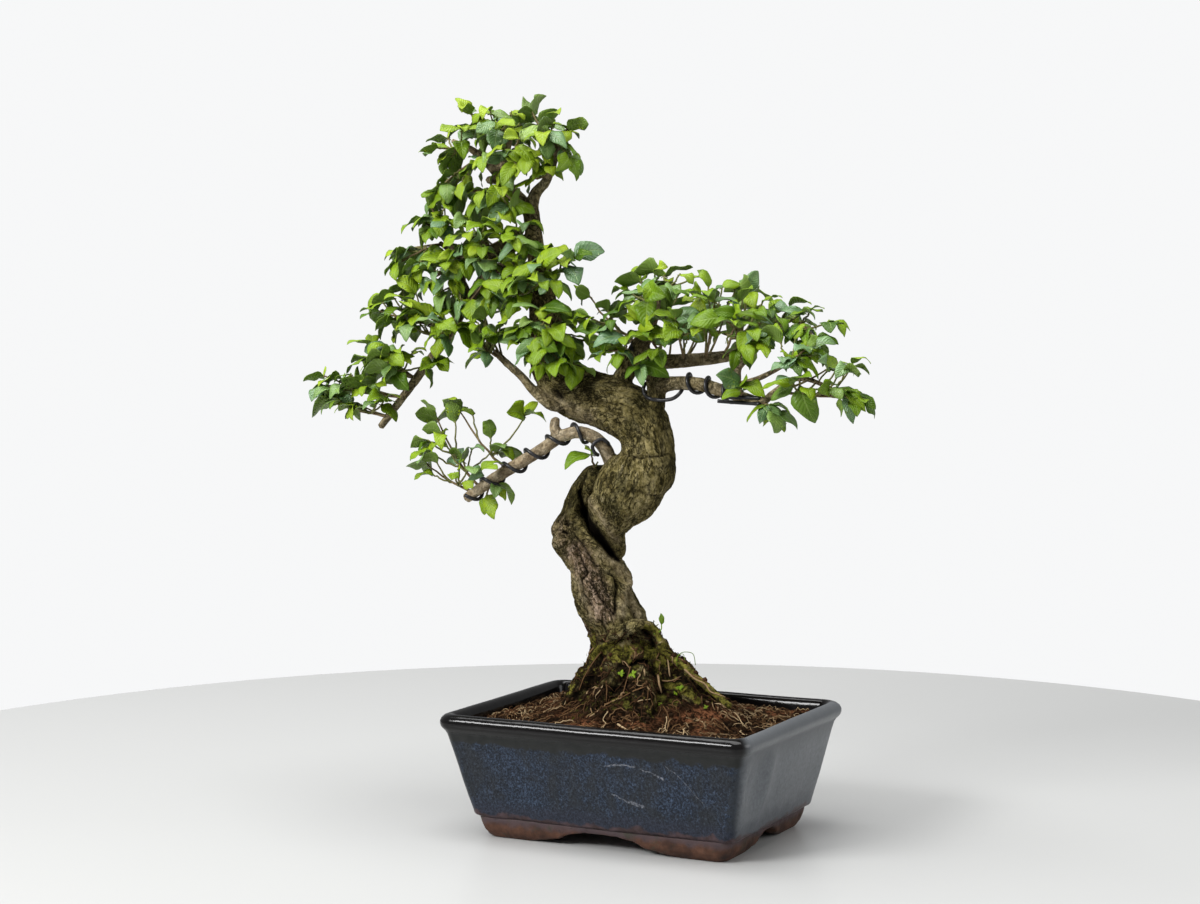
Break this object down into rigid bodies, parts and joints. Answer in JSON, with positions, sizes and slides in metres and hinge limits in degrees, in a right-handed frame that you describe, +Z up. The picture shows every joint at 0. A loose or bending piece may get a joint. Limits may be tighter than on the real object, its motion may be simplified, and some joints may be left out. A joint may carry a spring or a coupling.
{
  "type": "potted bonsai tree",
  "caption": "Small twisted-trunk bonsai with leafy sprays and wired branches, growing from a mossy root mound in a glazed rectangular pot on corner feet.",
  "frame": {"origin": "middle of the whole plant and pot's bounding box, at the surface the pot's feet stand on", "axes": "+X along the pot's long side, +Y to the pot's back long side, +Z up"},
  "size_m": [0.5236, 0.199, 0.5965],
  "materials": {
    "pot_glaze": "glossy mottled blue-black glaze over a bare terracotta foot",
    "mesh_plastic": "matte",
    "soil": "rough and fibrous",
    "bark": "rough bark with green-black mottling",
    "wire": "black anodised, satin",
    "leaf": "satin leaf"
  },
  "bodies": {
    "root": {"pot": "pot_glaze", "drain_mesh_left": "mesh_plastic", "drain_mesh_right": "mesh_plastic", "soil": "soil", "trunk": "bark", "wire_low": "wire", "wire_right": "wire", "spray_apex_left": "leaf", "spray_apex_crown": "leaf", "spray_apex_right": "leaf", "spray_apex_front": "leaf", "spray_apex_back": "leaf", "spray_apex_tuft": "leaf", "spray_left_high": "leaf", "spray_left_tier_high": "leaf", "spray_mid_high": "leaf", "spray_front_cluster": "leaf", "spray_front_cluster_right": "leaf", "spray_left_tip": "leaf", "spray_left_mid": "leaf", "spray_left_inner": "leaf", "spray_left_low": "leaf", "spray_left_outer": "leaf", "spray_left_outer_low": "leaf", "spray_left_front": "leaf", "spray_left_tier": "leaf", "spray_left_end": "leaf", "spray_left_end_low": "leaf", "spray_mid_left": "leaf", "spray_mid_arch": "leaf", "spray_mid_front": "leaf", "spray_mid_right": "leaf", "spray_trunk_front": "leaf", "spray_trunk_front_low": "leaf", "spray_mid_side": "leaf", "spray_right_left": "leaf", "spray_right_left_low": "leaf", "spray_right_crown_left": "leaf", "spray_right_crown": "leaf", "spray_right_crown_back": "leaf", "spray_right_mid": "leaf", "spray_right_dome": "leaf", "spray_right_dome_right": "leaf", "spray_right_dome_back": "leaf", "spray_right_slope": "leaf", "spray_right_tip_high": "leaf", "spray_right_front": "leaf", "spray_right_slope_low": "leaf", "spray_right_far": "leaf", "spray_right_drop": "leaf", "spray_right_bud": "leaf", "spray_right_inner": "leaf", "spray_low_v": "leaf", "spray_low_main": "leaf", "spray_low_front": "leaf", "spray_low_under": "leaf", "spray_ring_twig": "leaf"}
  },
  "joints": []
}
